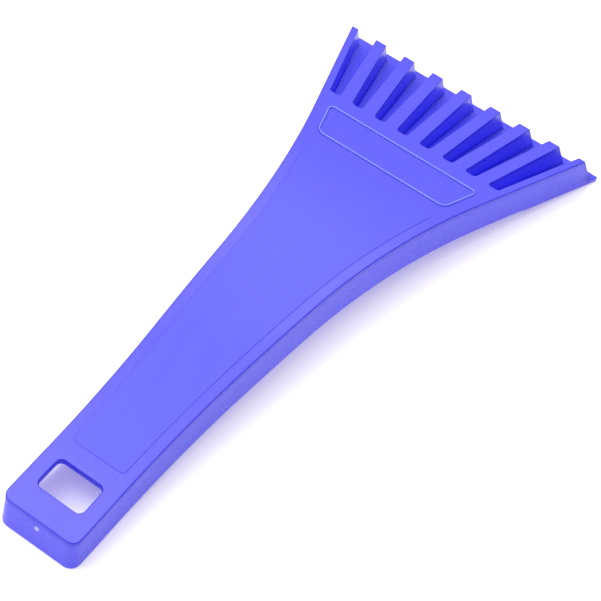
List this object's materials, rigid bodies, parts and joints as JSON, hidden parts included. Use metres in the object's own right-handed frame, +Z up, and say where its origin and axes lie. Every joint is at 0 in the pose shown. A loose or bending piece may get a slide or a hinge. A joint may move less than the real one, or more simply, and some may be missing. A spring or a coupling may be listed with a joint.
{
  "type": "windshield ice scraper",
  "caption": "One-piece moulded plastic windshield ice scraper: open-bottomed handle with a hang hole, flared head with a fan of ice-breaking ribs and a sloping scraper blade.",
  "frame": {"origin": "bottom centre of the bounding box, on the surface that the scraper rests on with its tail and its scraping edge", "axes": "+X runs along the handle from the tail to the scraping edge, +Y across the scraper to the left of someone looking along +X, +Z up out of the flat top"},
  "size_m": [0.2264, 0.099, 0.0215],
  "materials": {
    "shell_plastic": "glossy moulded blue plastic, very slightly translucent",
    "panel_plastic": "satin blue grip panel with a very fine moulded texture",
    "rib_plastic": "glossy moulded blue plastic",
    "blade_plastic": "glossy moulded blue plastic, lightly scuffed along the scraping edge",
    "gate_plastic": "stress-whitened sheared gate stub"
  },
  "bodies": {
    "root": {"top_deck": "shell_plastic", "left_side_wall": "shell_plastic", "right_side_wall": "shell_plastic", "tail_wall": "shell_plastic", "groove_end_wall": "shell_plastic", "scraper_blade": "blade_plastic", "left_blade_cheek": "blade_plastic", "right_blade_cheek": "blade_plastic", "grip_panel": "panel_plastic", "label_frame": "shell_plastic", "gate_mark": "gate_plastic", "ice_rib_1": "rib_plastic", "ice_rib_2": "rib_plastic", "ice_rib_3": "rib_plastic", "ice_rib_4": "rib_plastic", "ice_rib_5": "rib_plastic", "ice_rib_6": "rib_plastic", "ice_rib_7": "rib_plastic", "ice_rib_8": "rib_plastic", "ice_rib_9": "rib_plastic"}
  },
  "joints": []
}
